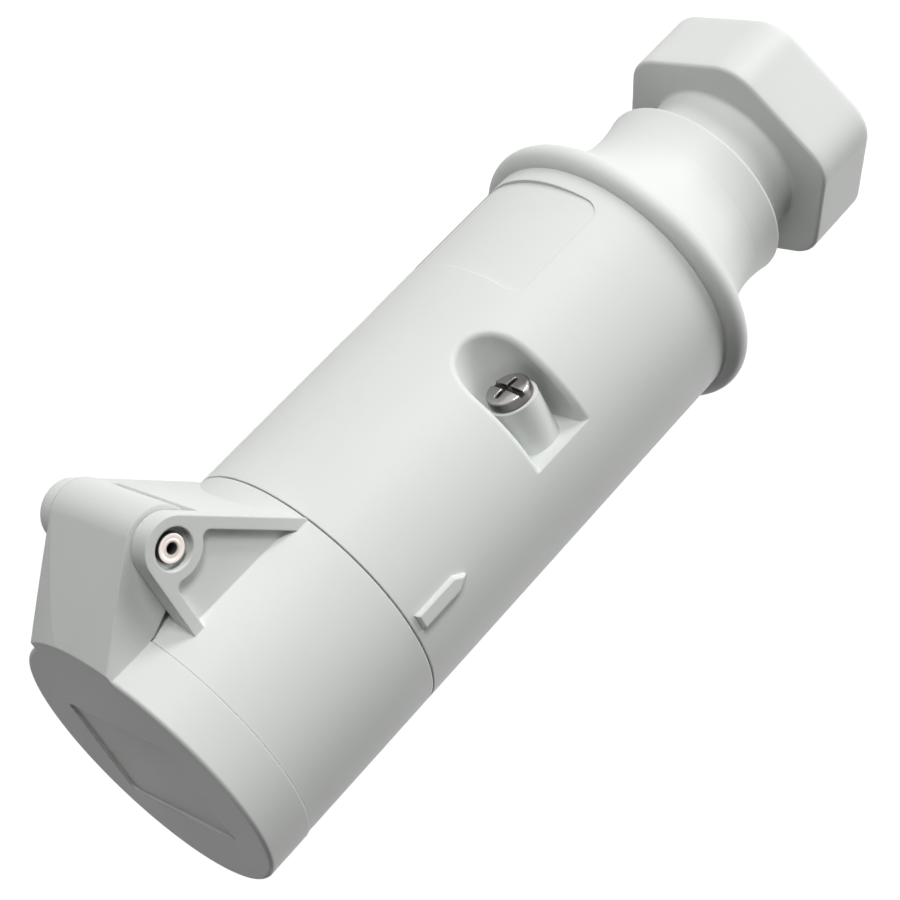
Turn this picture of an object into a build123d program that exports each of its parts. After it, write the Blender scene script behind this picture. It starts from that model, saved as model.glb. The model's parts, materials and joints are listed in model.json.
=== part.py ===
from build123d import *
from math import acos, asin, atan2, cos, hypot, radians, sin, sqrt, tan
import os

# Industrial power coupler: a three-pole cable connector with a sprung lid over its mouth.
# Millimetres. The axis of the coupler is X, with the mouth towards +X and its centre at the origin.
# The coupler lies on its side, on the ring of its rear housing and on the lower ear of its hinge.

os.makedirs("parts", exist_ok=True)

# Fits: play all round a turning piece, play all round a seated piece, and the gap between passing faces
running_fit = 0.05
seated_fit = 0.1
passing_gap = 0.3

# Barrel, mouth and the joint between the two housings
barrel_r = 26.0
front_wall = 3.8
front_length = 35.8
rear_barrel_length = 80.4
housing_wall = 2.6
spigot_wall = 2.4
spigot_length = 26.0
web_set_back = 2.2
web_thickness = 3.0
parting_gap = 0.3
parting_gap_depth = 0.9

# Collar of the front housing that the lid closes over
collar_base_wall = 2.4
collar_tip_wall = 1.4
keyway_width = 5.0
keyway_depth = 0.8
keyway_length = 30.0

# Lid
lid_overhang = 0.2
lid_depth = 4.5
lid_skirt_length = 9.1
lid_skirt_wall = 1.3
lid_plate = 2.4
lid_edge_radius = 0.7
lid_seat_gap = 0.1
lid_field_high = 9.6
lid_field_low = 12.3
lid_field_half_width = 14.8
lid_field_corner = 1.2
lid_field_depth = 0.5
gasket_thickness = 1.8
gasket_band = 3.4

# Hinge: its pin, the knuckle and arm of the lid, and the bracket of the front housing
pin_x = -14.6
pin_height = 35.3
pin_r = 2.5
pin_hole_r = 0.9
knuckle_r = 6.2
arm_half_width = 10.8
arm_tip_r = 27.5
arm_cone_angle = 42.6
bracket_half_width = 14.8
ear_thickness = 3.7
plate_gap = 0.6
ear_boss_r = 5.3
ear_web_recess = 1.3
ear_web_corner = 1.2
bracket_rib = 2.1
pin_recess_r = 3.5
pin_recess_depth = 1.7
pin_end_depth = 0.6

# Torsion spring inside the knuckle, drawn as the tube that its closed coil fills
spring_wire_r = 0.6
spring_turns = 6
spring_pitch = 1.9
spring_play = 0.35

# Ring and neck at the back of the rear housing: the neck sweeps in from the ring to its waist, then out to its rim
ring_height = 2.5
neck_sweep_r = 18.0
neck_r = 18.5
neck_rim_r = 19.3
neck_rim_length = 6.6
neck_rim_edge = 0.4
gland_tube_wall = 2.6
gland_bore_r = 15.6
shoulder_wall = 2.8
cable_hole_r = 8.0

# Gland: nut, pressure ring and rubber sleeve
nut_flats = 43.0
nut_corner_radius = 8.5
nut_length = 14.8
nut_gap = 9.7
nut_edge = 1.2
nut_engagement = 6.0
nut_bore_r = 9.5
pressure_ring_thickness = 2.0
pressure_ring_lip = 3.0
pressure_ring_lip_wall = 1.3
sleeve_length = 14.0
sleeve_bore_r = 6.5
sleeve_edge = 0.8

# Screw pockets on both sides of the rear housing
pocket_x = -76.4
pocket_r = 5.9
pocket_set_in = 7.2
pocket_floor_height = 2.5
pocket_floor = 2.5
pocket_wall = 2.1
pocket_edge_radius = 1.2
screw_boss_r = 4.5
screw_boss_height = 9.3
screw_r = 1.95
screw_head_r = 3.95
screw_head_height = 2.1
screw_slot = 1.1
screw_slot_depth = 0.9
screw_cross_length = 4.6
screw_turn = 85
tongue_depth = 7.5
tongue_thickness = 8.3
tongue_end_margin = 8.0
nut_insert_r = 2.8
nut_insert_length = 6.5

# Recessed field on the back of the barrel, and the pointed marks at its sides
field_length = 23.1
field_half_width = 14.0
field_to_ring = 3.5
field_corner = 3.0
field_depth = 0.6
field_sweep_r = 29.0
mark_width = 3.1
mark_length = 11.5
mark_height = 0.8
mark_root = 0.5
mark_offset = 1.4
mark_point = 2.4

# Contact insert, the ring that holds it and the three contacts
plug_sleeve_gap = 4.4
insert_recess = 5.5
insert_flange = 3.0
retainer_band = 7.5
retainer_thickness = 5.0
contact_reach = 8.75
contact_count = 3
phase_bore_r = 2.55
earth_bore_r = 3.05
contact_wall = 1.05
contact_recess = 3.5
contact_bore_depth = 26.0
terminal_r = 4.3
terminal_length = 9.5
wire_bore_r = 2.1
terminal_screw_r = 1.6
terminal_screw_length = 4.2
retainer_screw_r = 0.9
retainer_screw_head_r = 1.3
retainer_screw_head = 1.2
retainer_screw_hold = 2.2
insert_edge = 0.6

# Square-section seal between the two housings
seal_side = 1.5
seal_depth = 1.4

# Stations along the axis, from the mouth backwards
lid_face_x = lid_depth
lid_inside_x = lid_face_x - lid_plate
skirt_end_x = lid_face_x - lid_skirt_length
shoulder_x = skirt_end_x - lid_seat_gap
parting_x = -front_length
web_x = parting_x - web_set_back
web_back_x = web_x - web_thickness
spigot_end_x = parting_x - spigot_length
seal_x = web_x - web_thickness / 2
ring_r = barrel_r + ring_height
ring_x = parting_x - rear_barrel_length
crest_x = ring_x - ring_height
ring_back_x = crest_x - ring_height
neck_waist_x = ring_back_x - sqrt(neck_sweep_r**2 - (neck_sweep_r - (barrel_r - neck_r)) ** 2)
rim_x = neck_waist_x - neck_rim_length
nut_front_x = rim_x - nut_gap
nut_travel = nut_gap - passing_gap
shank_end_x = rim_x + nut_engagement
ring_face_x = shank_end_x + passing_gap + pressure_ring_thickness
sleeve_back_x = ring_face_x + nut_travel + passing_gap
sleeve_front_x = sleeve_back_x + sleeve_length

# Radii that follow from the barrel and the fits
mouth_r = barrel_r - front_wall
lid_r = barrel_r + lid_overhang
lid_inner_r = lid_r - lid_skirt_wall
spigot_r = barrel_r - housing_wall - seated_fit
spigot_inner_r = spigot_r - spigot_wall
cavity_r = barrel_r - housing_wall
insert_r = mouth_r - plug_sleeve_gap
pocket_reach = barrel_r - pocket_set_in
tongue_inner = spigot_r - tongue_thickness
retainer_hole_r = spigot_inner_r - retainer_band
pin_bore_r = pin_r + running_fit
knuckle_half_length = arm_half_width
ear_inner = bracket_half_width - ear_thickness
retainer_screw_circle_r = (insert_r + seated_fit + spigot_inner_r) / 2

# The roll that lays both the ring and the lower ear on the bench
ear_reach = pin_height + ear_boss_r
roll = asin(ring_r / hypot(ear_reach, bracket_half_width)) - atan2(bracket_half_width, ear_reach)
to_hinge = Vector(0, -cos(roll), -sin(roll))
along_pin = Vector(0, sin(roll), -cos(roll))

# Drawing planes. Side: along the axis and towards the hinge. Across: towards the hinge and along the pin.
side = Plane(origin=(0, 0, 0), x_dir=(1, 0, 0), z_dir=along_pin)
middle = Plane(origin=(0, 0, 0), x_dir=(1, 0, 0), z_dir=to_hinge)


def across(x):
    """The plane square to the axis at station x, with its own x towards the hinge."""
    return Plane(origin=(x, 0, 0), x_dir=to_hinge, z_dir=(1, 0, 0))


def tangent_point(centre, radius, target, turn):
    """The point of a circle where the line to the target touches it, on the side given by turn (+1 or -1)."""
    reach = hypot(target[0] - centre[0], target[1] - centre[1])
    bearing = atan2(target[1] - centre[1], target[0] - centre[0])
    angle = bearing + turn * acos(radius / reach)
    return (centre[0] + radius * cos(angle), centre[1] + radius * sin(angle))


pin_centre = (pin_x, pin_height)

# Lid arm: a wedge from the knuckle to the lid, its outer corners cut by a cone about the axis
arm_top = tangent_point(pin_centre, knuckle_r, (lid_face_x, arm_tip_r), 1)
arm_low = (skirt_end_x, sqrt(barrel_r**2 - arm_half_width**2))
arm_bottom = tangent_point(pin_centre, knuckle_r, arm_low, -1)
cone_back_x = pin_x - knuckle_r - 1
cone_back_r = arm_tip_r + (lid_face_x - cone_back_x) * tan(radians(arm_cone_angle))

with BuildPart() as lid_arm:
    with BuildSketch(side):
        with BuildLine():
            Polyline(
                pin_centre,
                arm_top,
                (lid_face_x, arm_tip_r),
                (lid_face_x, arm_low[1] - lid_skirt_wall),
                (skirt_end_x, arm_low[1] - lid_skirt_wall),
                arm_low,
                arm_bottom,
                close=True,
            )
        make_face()
        with Locations(pin_centre):
            Circle(knuckle_r)
    extrude(amount=arm_half_width, both=True)
    with BuildSketch(side):
        with BuildLine():
            Polyline(
                (cone_back_x, 0),
                (cone_back_x, cone_back_r),
                (lid_face_x, arm_tip_r),
                (lid_face_x, 0),
                close=True,
            )
        make_face()
    revolve(axis=Axis.X, mode=Mode.INTERSECT)

spring_space_r = pin_r + spring_play + 2 * spring_wire_r + spring_play
spring_space_half = spring_pitch * spring_turns / 2 + spring_wire_r + spring_play

# Lid: a shallow cap with a plate, a skirt, the arm and its knuckle
with BuildPart() as lid:
    with BuildSketch(side):
        with BuildLine():
            Line((skirt_end_x, 0), (skirt_end_x, lid_r))
            Line((skirt_end_x, lid_r), (lid_face_x - lid_edge_radius, lid_r))
            RadiusArc((lid_face_x - lid_edge_radius, lid_r), (lid_face_x, lid_r - lid_edge_radius), lid_edge_radius)
            Line((lid_face_x, lid_r - lid_edge_radius), (lid_face_x, 0))
            Line((lid_face_x, 0), (skirt_end_x, 0))
        make_face()
    revolve(axis=Axis.X)
    add(lid_arm.part)
    # Room for the collar and gasket, and for the barrel under the arm
    with BuildSketch(side):
        with BuildLine():
            Polyline(
                (pin_x, 0),
                (pin_x, barrel_r + passing_gap),
                (skirt_end_x, barrel_r + passing_gap),
                (skirt_end_x, lid_inner_r),
                (lid_inside_x, lid_inner_r),
                (lid_inside_x, 0),
                close=True,
            )
        make_face()
    revolve(axis=Axis.X, mode=Mode.SUBTRACT)
    # Bore for the pin, with the hollow that holds the spring
    with BuildSketch(side):
        with Locations(pin_centre):
            Circle(pin_bore_r)
    extrude(amount=knuckle_half_length, both=True, mode=Mode.SUBTRACT)
    with BuildSketch(side):
        with Locations(pin_centre):
            Circle(spring_space_r)
    extrude(amount=spring_space_half, both=True, mode=Mode.SUBTRACT)
    # Shallow field on the face
    with BuildSketch(across(lid_face_x)):
        with Locations(((lid_field_high - lid_field_low) / 2, 0)):
            RectangleRounded(lid_field_high + lid_field_low, 2 * lid_field_half_width, lid_field_corner)
    extrude(amount=-lid_field_depth, mode=Mode.SUBTRACT)
lid.part.label = "lid"
export_step(lid.part, "parts/lid.step")

# Flat rubber ring inside the lid, which closes on the end of the collar
with BuildPart() as lid_gasket:
    with BuildSketch(across(lid_inside_x)):
        Circle(lid_inner_r - seated_fit)
        Circle(lid_inner_r - seated_fit - gasket_band, mode=Mode.SUBTRACT)
    extrude(amount=-gasket_thickness)
lid_gasket.part.label = "lid_gasket"
export_step(lid_gasket.part, "parts/lid_gasket.step")

# Hollow hinge pin, held in the two ears
pin_half_length = bracket_half_width - pin_end_depth
with BuildPart() as hinge_pin:
    with BuildSketch(side):
        with Locations(pin_centre):
            Circle(pin_r)
            Circle(pin_hole_r, mode=Mode.SUBTRACT)
    extrude(amount=pin_half_length, both=True)
    chamfer(hinge_pin.edges().filter_by(GeomType.CIRCLE), length=0.3)
hinge_pin.part.label = "hinge_pin"
export_step(hinge_pin.part, "parts/hinge_pin.step")

# Torsion spring round the pin inside the knuckle, as a tube of the coil's size
spring_inner_r = pin_r + spring_play
with BuildPart() as lid_spring:
    with BuildSketch(side):
        with Locations(pin_centre):
            Circle(spring_inner_r + 2 * spring_wire_r)
            Circle(spring_inner_r, mode=Mode.SUBTRACT)
    extrude(amount=spring_pitch * spring_turns / 2, both=True)
lid_spring.part.label = "lid_spring"
export_step(lid_spring.part, "parts/lid_spring.step")

# Hinge bracket: two ears with a boss, a sloping rib and an upright rib each, and a sloping plate between them
slope_foot = (pin_x - ear_boss_r / sqrt(2), pin_height + ear_boss_r / sqrt(2))
ear_front_x = pin_x + ear_boss_r
ear_base = sqrt(mouth_r**2 - ear_inner**2) + passing_gap
slope_end = (slope_foot[0] - (slope_foot[1] - ear_base), ear_base)
rib_step = bracket_rib / sqrt(2)
plate_clearance = knuckle_r + plate_gap
plate_start = sqrt(plate_clearance**2 - (ear_boss_r - bracket_rib) ** 2) / sqrt(2)
plate_top = (slope_foot[0] - plate_start, slope_foot[1] - plate_start)
web_corner = (slope_foot[0] + 2 * rib_step + ear_base - slope_foot[1], ear_base)

with BuildPart() as bracket:
    with BuildSketch(side.offset(ear_inner)):
        with BuildLine():
            Polyline(
                pin_centre,
                slope_foot,
                slope_end,
                (ear_front_x, ear_base),
                (ear_front_x, pin_height),
                close=True,
            )
        make_face()
        with Locations(pin_centre):
            Circle(ear_boss_r)
    extrude(amount=ear_thickness)
    with BuildSketch(side.offset(bracket_half_width)) as ear_web:
        with BuildLine():
            Polyline(
                pin_centre,
                (slope_foot[0] + rib_step, slope_foot[1] - rib_step),
                web_corner,
                (ear_front_x - bracket_rib, ear_base),
                (ear_front_x - bracket_rib, pin_height),
                close=True,
            )
        make_face()
        with Locations(pin_centre):
            Circle(ear_boss_r, mode=Mode.SUBTRACT)
        fillet(ear_web.vertices(), radius=ear_web_corner)
    extrude(amount=-ear_web_recess, mode=Mode.SUBTRACT)
    mirror(about=side)
    with BuildSketch(side):
        with BuildLine():
            Polyline(
                plate_top,
                slope_end,
                (slope_end[0] + 2 * rib_step, slope_end[1]),
                (plate_top[0] + rib_step, plate_top[1] - rib_step),
                close=True,
            )
        make_face()
    extrude(amount=ear_inner, both=True)
    # The bracket ends where the rear housing begins
    with BuildSketch(across(parting_x)):
        Rectangle(4 * pin_height, 4 * pin_height)
    extrude(amount=front_length, mode=Mode.INTERSECT)

# Front housing: collar, barrel, bracket and the web that the contact insert sits in
with BuildPart() as front_housing:
    with BuildSketch(side):
        with BuildLine():
            Polyline(
                (0, 0),
                (0, mouth_r + collar_tip_wall),
                (shoulder_x, mouth_r + collar_base_wall),
                (shoulder_x, barrel_r),
                (parting_x, barrel_r),
                (parting_x, spigot_r),
                (web_back_x, spigot_r),
                (web_back_x, 0),
                close=True,
            )
        make_face()
    revolve(axis=Axis.X)
    add(bracket.part)
    # Mouth, and the opening of the web for the insert
    with BuildSketch(side):
        with BuildLine():
            Polyline(
                (0, 0),
                (0, mouth_r),
                (web_x, mouth_r),
                (web_x, insert_r + seated_fit),
                (web_back_x, insert_r + seated_fit),
                (web_back_x, 0),
                close=True,
            )
        make_face()
    revolve(axis=Axis.X, mode=Mode.SUBTRACT)
    # Narrow groove that shows as a line where the two housings meet
    with BuildSketch(side):
        with Locations((parting_x + parting_gap / 2, barrel_r)):
            Rectangle(parting_gap, 2 * parting_gap_depth)
    revolve(axis=Axis.X, mode=Mode.SUBTRACT)
    # Keyway of the mouth, opposite the hinge
    with BuildSketch(across(0)):
        with Locations((-(mouth_r + keyway_depth) / 2, 0)):
            Rectangle(mouth_r + keyway_depth, keyway_width)
        Circle(mouth_r - keyway_depth, mode=Mode.SUBTRACT)
    extrude(amount=-keyway_length, mode=Mode.SUBTRACT)
    # Bore for the pin, with a recess round each end of it
    with BuildSketch(side):
        with Locations(pin_centre):
            Circle(pin_r)
    extrude(amount=bracket_half_width, both=True, mode=Mode.SUBTRACT)
    with BuildSketch(side.offset(bracket_half_width)):
        with Locations(pin_centre):
            Circle(pin_recess_r)
    extrude(amount=-pin_recess_depth, mode=Mode.SUBTRACT)
    with BuildSketch(side.offset(-bracket_half_width)):
        with Locations(pin_centre):
            Circle(pin_recess_r)
    extrude(amount=pin_recess_depth, mode=Mode.SUBTRACT)
    # Holes for the screws of the retaining ring
    with BuildSketch(across(web_back_x)):
        with PolarLocations(retainer_screw_circle_r, contact_count):
            Circle(retainer_screw_r)
    extrude(amount=retainer_screw_hold, mode=Mode.SUBTRACT)
    # Groove for the seal
    with BuildSketch(side):
        with Locations((seal_x, spigot_r)):
            Rectangle(seal_side + 2 * seated_fit, 2 * seal_depth)
    revolve(axis=Axis.X, mode=Mode.SUBTRACT)
front_housing.part.label = "front_housing"
export_step(front_housing.part, "parts/front_housing.step")

with BuildPart() as housing_gasket:
    with BuildSketch(side):
        with Locations((seal_x, spigot_r - seal_depth + seal_side / 2)):
            Rectangle(seal_side, seal_side)
    revolve(axis=Axis.X)
housing_gasket.part.label = "housing_gasket"
export_step(housing_gasket.part, "parts/housing_gasket.step")

# Inner frame: a tube behind the web, with two tongues that reach under the screw pockets
tongue_end_x = pocket_x - tongue_end_margin
tongue_start_x = web_back_x - insert_flange - retainer_thickness - retainer_screw_head - passing_gap
tongue_length = tongue_start_x - tongue_end_x
with BuildPart() as tongues:
    with BuildSketch(middle):
        with Locations(((tongue_start_x + tongue_end_x) / 2, 0)):
            Rectangle(tongue_length, 2 * barrel_r)
            Rectangle(tongue_length, 2 * tongue_inner, mode=Mode.SUBTRACT)
    extrude(amount=-tongue_depth)
    with BuildSketch(across(tongue_end_x)):
        Circle(spigot_r)
    extrude(amount=tongue_length, mode=Mode.INTERSECT)

with BuildPart() as inner_frame:
    with BuildSketch(across(web_back_x)):
        Circle(spigot_r)
        Circle(spigot_inner_r, mode=Mode.SUBTRACT)
    extrude(amount=spigot_end_x - web_back_x)
    add(tongues.part)
    # Holes for the threaded inserts and for the long screws
    with BuildSketch(middle.offset(-tongue_depth)):
        with Locations((pocket_x, pocket_reach), (pocket_x, -pocket_reach)):
            Circle(nut_insert_r)
    extrude(amount=nut_insert_length, mode=Mode.SUBTRACT)
    with BuildSketch(middle):
        with Locations((pocket_x, pocket_reach), (pocket_x, -pocket_reach)):
            Circle(screw_r + seated_fit)
    extrude(amount=-tongue_depth, mode=Mode.SUBTRACT)
inner_frame.part.label = "inner_frame"
export_step(inner_frame.part, "parts/inner_frame.step")

# Screw pocket: a round-ended channel cut down to its floor, with walls of its own inside the barrel
pocket_edge = middle.offset(pocket_floor_height)
pocket_top = barrel_r - pocket_floor_height
with BuildPart() as pocket_space:
    with BuildSketch(pocket_edge):
        with Locations((pocket_x, pocket_reach)):
            Circle(pocket_r)
        with Locations((pocket_x, pocket_reach + barrel_r / 2)):
            Rectangle(2 * pocket_r, barrel_r)
    extrude(amount=pocket_top)
    mirror(about=side)

with BuildPart() as pocket_walls:
    with BuildSketch(pocket_edge.offset(-pocket_floor)):
        with Locations((pocket_x, pocket_reach)):
            Circle(pocket_r + pocket_wall)
        with Locations((pocket_x, pocket_reach + barrel_r / 2)):
            Rectangle(2 * (pocket_r + pocket_wall), barrel_r)
    extrude(amount=pocket_top + pocket_floor)
    mirror(about=side)
    with BuildSketch(side):
        with Locations((pocket_x, (barrel_r - housing_wall / 2) / 2)):
            Rectangle(4 * pocket_r, barrel_r - housing_wall / 2)
    revolve(axis=Axis.X, mode=Mode.INTERSECT)

# Recessed field on the hinge side of the barrel, as the block that is taken off it
field_back_x = ring_x + field_to_ring
with BuildPart() as field_block:
    with BuildSketch(middle.offset(barrel_r / 2)):
        with Locations((field_back_x + field_length / 2, 0)):
            RectangleRounded(field_length, 2 * field_half_width, field_corner)
    extrude(amount=barrel_r)
    with BuildSketch(across(field_back_x - passing_gap)):
        with Locations((barrel_r - field_depth - field_sweep_r, 0)):
            Circle(field_sweep_r)
    extrude(amount=field_length + 2 * passing_gap, mode=Mode.SUBTRACT)

# Pointed mark at each side of the barrel, just behind the joint of the two housings
mark_front_x = parting_x - mark_offset
with BuildPart() as side_marks:
    with BuildSketch(side.offset(barrel_r - mark_root)):
        with BuildLine():
            Polyline(
                (mark_front_x, -mark_width / 2),
                (mark_front_x, mark_width / 2),
                (mark_front_x - mark_length + mark_point, mark_width / 2),
                (mark_front_x - mark_length, 0),
                (mark_front_x - mark_length + mark_point, -mark_width / 2),
                close=True,
            )
        make_face()
    extrude(amount=mark_height + mark_root)
    chamfer(side_marks.faces().sort_by(Axis(origin=(0, 0, 0), direction=along_pin))[-1].edges(), length=mark_height / 2)
    mirror(about=side)

# Rear housing: a barrel with the screw pockets, the recessed field and the pointed marks
with BuildPart() as rear_housing:
    with BuildSketch(across(parting_x)):
        Circle(barrel_r)
        Circle(cavity_r, mode=Mode.SUBTRACT)
    extrude(amount=ring_x - parting_x)
    add(pocket_walls.part)
    add(pocket_space.part, mode=Mode.SUBTRACT)
    # Rounded edge round the mouth of each pocket
    mouth_edges = rear_housing.edges().filter_by(
        lambda edge: abs(edge.center().X - pocket_x) < pocket_r + pocket_edge_radius
        and all(hypot(point.Y, point.Z) > barrel_r - seated_fit for point in (edge @ 0, edge @ 0.5, edge @ 1))
        and (edge @ 0.5).dot(to_hinge) > pocket_floor_height + seated_fit
    )
    fillet(mouth_edges, radius=pocket_edge_radius)
    add(field_block.part, mode=Mode.SUBTRACT)
    add(side_marks.part)
    # Bosses for the long screws
    with BuildSketch(pocket_edge):
        with Locations((pocket_x, pocket_reach), (pocket_x, -pocket_reach)):
            Circle(screw_boss_r)
    extrude(amount=screw_boss_height)
    with BuildSketch(middle):
        with Locations((pocket_x, pocket_reach), (pocket_x, -pocket_reach)):
            Circle(screw_r + seated_fit)
    extrude(amount=pocket_floor_height + screw_boss_height, mode=Mode.SUBTRACT)
rear_housing.part.label = "rear_housing"
export_step(rear_housing.part, "parts/rear_housing.step")

# Gland neck: the ring and the swept neck that close the barrel, with the bore for the gland
with BuildPart() as gland_neck:
    with BuildSketch(side):
        with BuildLine():
            Polyline((rim_x, gland_bore_r), (sleeve_front_x, gland_bore_r), (sleeve_front_x, cable_hole_r))
            Line((sleeve_front_x, cable_hole_r), (sleeve_front_x + shoulder_wall, cable_hole_r))
            Polyline(
                (sleeve_front_x + shoulder_wall, cable_hole_r),
                (sleeve_front_x + shoulder_wall, gland_bore_r + gland_tube_wall),
                (ring_x, gland_bore_r + gland_tube_wall),
                (ring_x, barrel_r),
            )
            RadiusArc((ring_x, barrel_r), (crest_x, ring_r), -ring_height)
            RadiusArc((crest_x, ring_r), (ring_back_x, barrel_r), -ring_height)
            sweep_in = RadiusArc((ring_back_x, barrel_r), (neck_waist_x, neck_r), neck_sweep_r)
            TangentArc((neck_waist_x, neck_r), (rim_x, neck_rim_r), tangent=sweep_in % 1)
            Line((rim_x, neck_rim_r), (rim_x, gland_bore_r))
        make_face()
    revolve(axis=Axis.X)
    fillet(gland_neck.edges().group_by(Axis.X)[0].sort_by(SortBy.RADIUS)[-1], radius=neck_rim_edge)
gland_neck.part.label = "gland_neck"
export_step(gland_neck.part, "parts/gland_neck.step")

# Long screws of the housings, with the brass inserts that they turn into
screw_seat = pocket_floor_height + screw_boss_height
for screw_side, reach in (("left", pocket_reach), ("right", -pocket_reach)):
    with BuildPart() as housing_screw:
        with BuildSketch(middle.offset(-tongue_depth)):
            with Locations((pocket_x, reach)):
                Circle(screw_r)
        extrude(amount=screw_seat + tongue_depth)
        with BuildSketch(middle.offset(screw_seat)):
            with Locations((pocket_x, reach)):
                Circle(screw_head_r)
        extrude(amount=screw_head_height)
        fillet(housing_screw.edges().sort_by(Axis(origin=(0, 0, 0), direction=to_hinge))[-1], radius=screw_head_height / 2)
        with BuildSketch(middle.offset(screw_seat + screw_head_height)):
            with Locations((pocket_x, reach)):
                Rectangle(2 * screw_head_r, screw_slot, rotation=screw_turn)
                Rectangle(screw_slot, screw_cross_length, rotation=screw_turn)
        extrude(amount=-screw_slot_depth, mode=Mode.SUBTRACT)
    housing_screw.part.label = "housing_screw_" + screw_side
    export_step(housing_screw.part, "parts/housing_screw_" + screw_side + ".step")

    with BuildPart() as threaded_insert:
        with BuildSketch(middle.offset(-tongue_depth)):
            with Locations((pocket_x, reach)):
                Circle(nut_insert_r)
                Circle(screw_r, mode=Mode.SUBTRACT)
        extrude(amount=nut_insert_length)
    threaded_insert.part.label = "threaded_insert_" + screw_side
    export_step(threaded_insert.part, "parts/threaded_insert_" + screw_side + ".step")

# Contact insert: a stepped body with a bore for each contact
insert_front_x = -insert_recess
flange_back_x = web_back_x - insert_flange
contact_front_x = insert_front_x - contact_recess
contact_bores = (("earth", earth_bore_r, 180), ("line", phase_bore_r, 60), ("neutral", phase_bore_r, 300))
with BuildPart() as contact_insert:
    with BuildSketch(side):
        with BuildLine():
            Polyline(
                (insert_front_x, 0),
                (insert_front_x, insert_r),
                (web_back_x, insert_r),
                (web_back_x, spigot_inner_r - seated_fit),
                (flange_back_x, spigot_inner_r - seated_fit),
                (flange_back_x, 0),
                close=True,
            )
        make_face()
    revolve(axis=Axis.X)
    chamfer(contact_insert.edges().group_by(Axis.X)[-1], length=insert_edge)
    with BuildSketch(across(insert_front_x)):
        for contact_name, bore_r, bearing in contact_bores:
            with PolarLocations(contact_reach, 1, start_angle=bearing):
                Circle(bore_r + contact_wall + seated_fit)
    extrude(amount=flange_back_x - insert_front_x, mode=Mode.SUBTRACT)
    with BuildSketch(across(web_back_x)):
        with PolarLocations(retainer_screw_circle_r, contact_count):
            Circle(retainer_screw_r + seated_fit)
    extrude(amount=-insert_flange, mode=Mode.SUBTRACT)
contact_insert.part.label = "contact_insert"
export_step(contact_insert.part, "parts/contact_insert.step")

# Ring that holds the insert against the web, with its three screws
retainer_back_x = flange_back_x - retainer_thickness
with BuildPart() as contact_retainer:
    with BuildSketch(across(flange_back_x)):
        Circle(spigot_inner_r - seated_fit)
        Circle(retainer_hole_r, mode=Mode.SUBTRACT)
        with PolarLocations(retainer_screw_circle_r, contact_count):
            Circle(retainer_screw_r + seated_fit, mode=Mode.SUBTRACT)
    extrude(amount=-retainer_thickness)
contact_retainer.part.label = "contact_retainer"
export_step(contact_retainer.part, "parts/contact_retainer.step")

with BuildPart() as retainer_screws:
    with BuildSketch(across(retainer_back_x)):
        with PolarLocations(retainer_screw_circle_r, contact_count):
            Circle(retainer_screw_r)
    extrude(amount=retainer_thickness + insert_flange + retainer_screw_hold)
    with BuildSketch(across(retainer_back_x)):
        with PolarLocations(retainer_screw_circle_r, contact_count):
            Circle(retainer_screw_head_r)
    extrude(amount=-retainer_screw_head)
retainer_screws.part.label = "retainer_screws"
export_step(retainer_screws.part, "parts/retainer_screws.step")

# Contacts: a tube for the pin of the plug, and a block with a bore for the wire and a screw to clamp it
terminal_end_x = retainer_back_x - terminal_length
terminal_screw_x = retainer_back_x - terminal_length / 2
for contact_name, bore_r, bearing in contact_bores:
    contact_h = contact_reach * cos(radians(bearing))
    contact_p = contact_reach * sin(radians(bearing))
    outward = to_hinge * cos(radians(bearing)) + along_pin * sin(radians(bearing))
    clamp_plane = Plane(
        origin=outward * contact_reach + Vector(terminal_screw_x, 0, 0), x_dir=(1, 0, 0), z_dir=outward
    )
    with BuildPart() as contact_socket:
        with BuildSketch(across(contact_front_x)):
            with Locations((contact_h, contact_p)):
                Circle(bore_r + contact_wall)
        extrude(amount=retainer_back_x - contact_front_x)
        with BuildSketch(across(retainer_back_x)):
            with Locations((contact_h, contact_p)):
                Circle(terminal_r)
        extrude(amount=-terminal_length)
        with BuildSketch(across(contact_front_x)):
            with Locations((contact_h, contact_p)):
                Circle(bore_r)
        extrude(amount=-contact_bore_depth, mode=Mode.SUBTRACT)
        with BuildSketch(across(terminal_end_x)):
            with Locations((contact_h, contact_p)):
                Circle(wire_bore_r)
        extrude(amount=terminal_length, mode=Mode.SUBTRACT)
        with BuildSketch(clamp_plane):
            Circle(terminal_screw_r + seated_fit)
        extrude(amount=terminal_r, mode=Mode.SUBTRACT)
    contact_socket.part.label = "contact_" + contact_name
    export_step(contact_socket.part, "parts/contact_" + contact_name + ".step")

    with BuildPart() as terminal_screw:
        with BuildSketch(clamp_plane.offset(wire_bore_r)):
            Circle(terminal_screw_r)
        extrude(amount=terminal_screw_length)
        with BuildSketch(clamp_plane.offset(wire_bore_r + terminal_screw_length)):
            Rectangle(2 * terminal_screw_r, terminal_screw_r / 2)
        extrude(amount=-terminal_screw_r / 2, mode=Mode.SUBTRACT)
    terminal_screw.part.label = "terminal_screw_" + contact_name
    export_step(terminal_screw.part, "parts/terminal_screw_" + contact_name + ".step")

# Gland nut: a six-sided nut with well rounded corners and a long smooth shank
shank_r = gland_bore_r - passing_gap
with BuildPart() as gland_nut:
    with BuildSketch(across(nut_front_x)) as nut_outline:
        RegularPolygon(nut_flats / 2, 6, major_radius=False, rotation=0)
        fillet(nut_outline.vertices(), radius=nut_corner_radius)
    extrude(amount=-nut_length)
    chamfer(gland_nut.faces().sort_by(Axis.X)[0].edges(), length=nut_edge)
    with BuildSketch(across(nut_front_x)):
        Circle(shank_r)
    extrude(amount=shank_end_x - nut_front_x)
    with BuildSketch(across(nut_front_x - nut_length)):
        Circle(nut_bore_r)
    extrude(amount=nut_length + shank_end_x - nut_front_x, mode=Mode.SUBTRACT)
gland_nut.part.label = "gland_nut"
export_step(gland_nut.part, "parts/gland_nut.step")

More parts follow.
